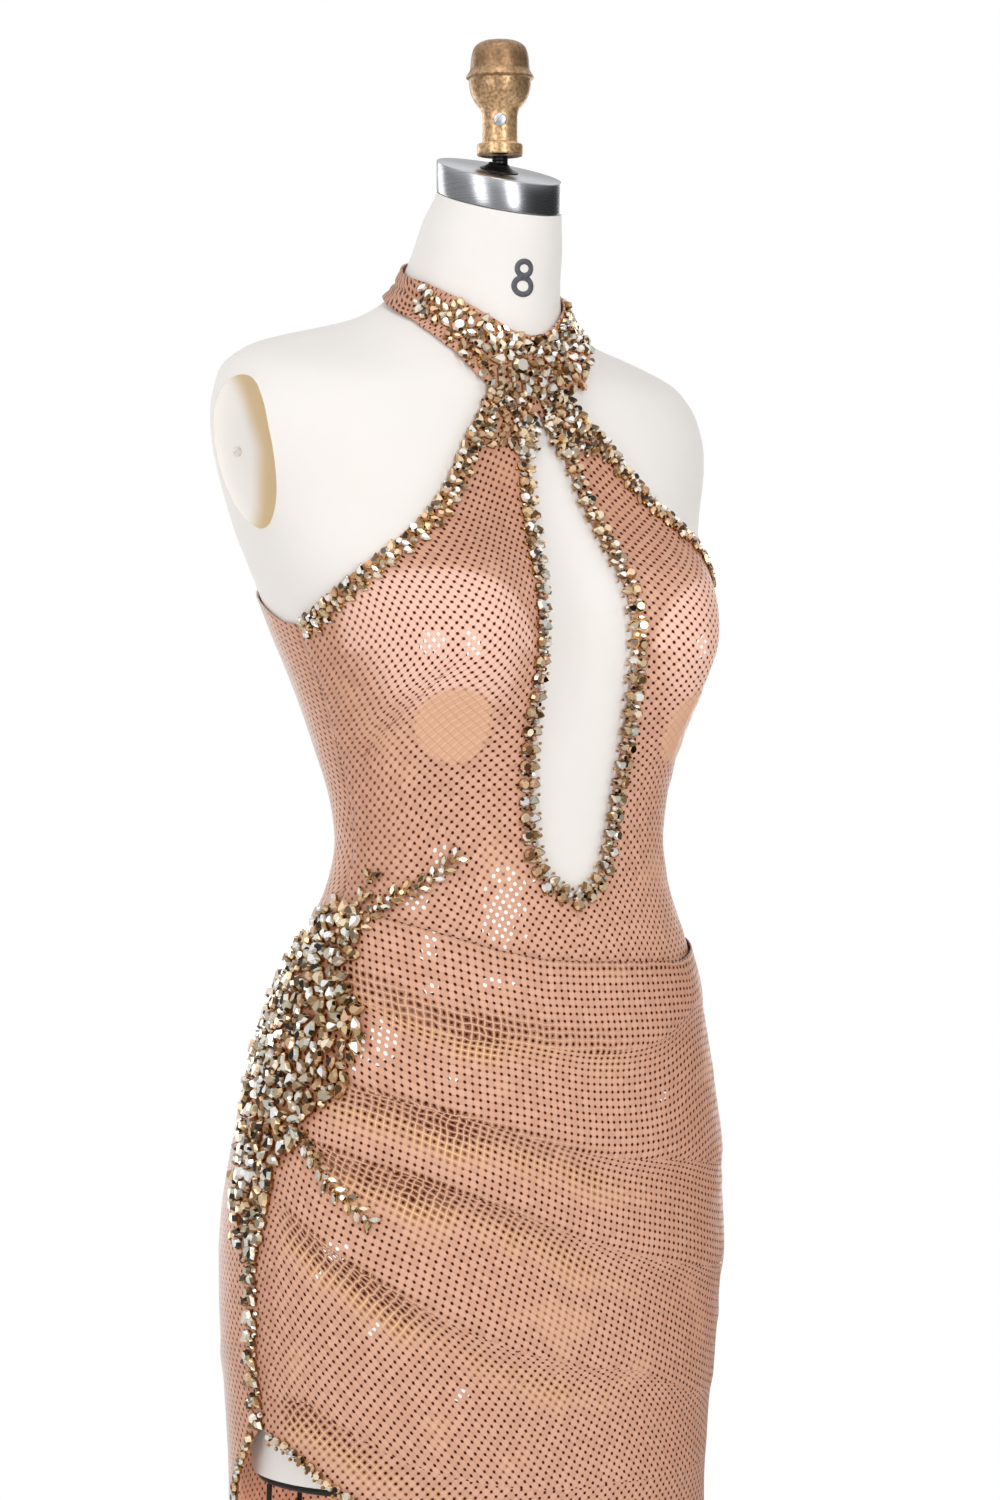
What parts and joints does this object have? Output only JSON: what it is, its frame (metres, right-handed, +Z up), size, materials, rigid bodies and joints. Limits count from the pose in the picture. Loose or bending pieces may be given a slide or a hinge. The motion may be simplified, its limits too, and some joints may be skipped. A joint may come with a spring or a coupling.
{
  "type": "halter maxi dress on limbless dress form",
  "caption": "Fitted floor-length halter dress in tile-look cloth with keyhole front, draped skirt, side slit and stone trim, on a limbless dress form on a stand",
  "frame": {"origin": "centre of the base plate's underside, on the floor and on the pole's axis", "axes": "+Z up along the pole, the form faces -Y, +X is the wearer's left"},
  "size_m": [0.4662, 0.4399, 1.6054],
  "materials": {
    "form_cover": "satin off-white",
    "cap_steel": "brushed",
    "finial_gold": "aged cast gold colour",
    "black_metal": "black satin paint",
    "screw_zinc": "zinc",
    "tile_cloth": "small satin tiles on net",
    "stones": "foiled crystal in gold settings",
    "base_iron": "black"
  },
  "bodies": {
    "root": {"arm_screw_left": "screw_zinc", "arm_screw_right": "screw_zinc", "back_panel": "tile_cloth", "base_plate": "base_iron", "bodice_front": "tile_cloth", "cage_ring_bottom": "black_metal", "cage_ring_top": "black_metal", "cage_wire_1": "black_metal", "cage_wire_2": "black_metal", "cage_wire_3": "black_metal", "cage_wire_4": "black_metal", "cage_wire_5": "black_metal", "cage_wire_6": "black_metal", "cage_wire_7": "black_metal", "cage_wire_8": "black_metal", "cap_washer": "black_metal", "collar": "tile_cloth", "finial": "finial_gold", "finial_screw": "screw_zinc", "form_torso": "form_cover", "neck_cap": "cap_steel", "pole": "black_metal", "rod_top": "black_metal", "skirt_front": "tile_cloth", "trim_collar": "stones", "trim_halter_left": "stones", "trim_halter_right": "stones", "trim_hip": "stones", "trim_hip_lower": "stones", "trim_hip_upper": "stones", "trim_keyhole": "stones", "trim_side": "stones", "trim_slit_back": "stones", "trim_slit_front": "stones"}
  },
  "joints": []
}
